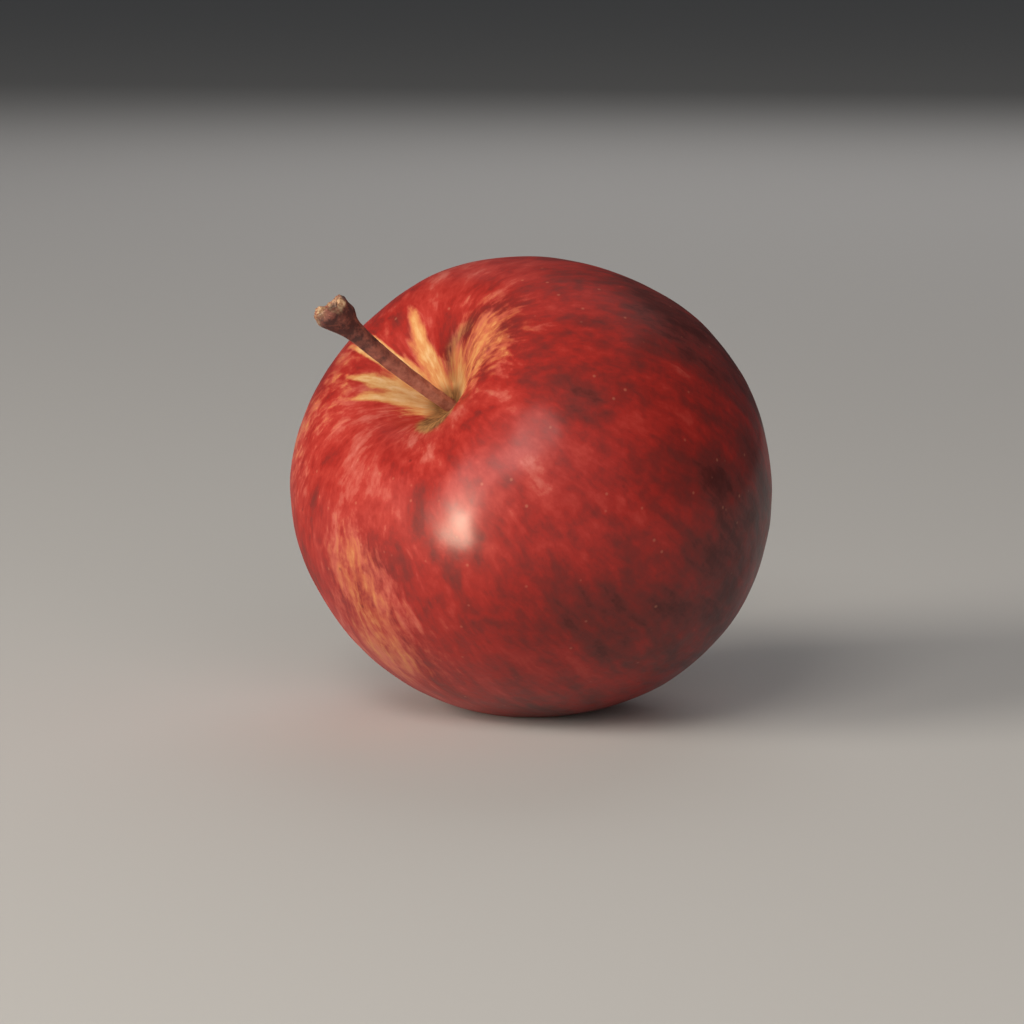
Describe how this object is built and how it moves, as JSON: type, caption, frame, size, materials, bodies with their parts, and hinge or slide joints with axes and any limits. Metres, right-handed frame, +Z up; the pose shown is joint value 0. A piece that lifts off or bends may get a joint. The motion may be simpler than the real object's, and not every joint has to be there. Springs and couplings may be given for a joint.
{
  "type": "dessert fruit",
  "caption": "Ripe dessert fruit lying on its side, with a stem cavity, a woody bowed stalk and a dried calyx in its basin.",
  "frame": {"origin": "middle of the small flat spot that the fruit rests on", "axes": "+Z up; the fruit lies on its side with its own axis 49 degrees from upright, the stalk end towards -X and -Y; a viewer looking along +Y sees it as the picture does"},
  "size_m": [0.0755, 0.0773, 0.0711],
  "materials": {
    "skin": "waxy fruit skin, red streaked over yellow, satin gloss",
    "stalk_bark": "matt woody stalk with a pale torn end",
    "dry_sepal": "matt dry papery sepals"
  },
  "bodies": {
    "root": {"fruit": "skin", "stalk": "stalk_bark", "calyx": "dry_sepal"}
  },
  "joints": []
}
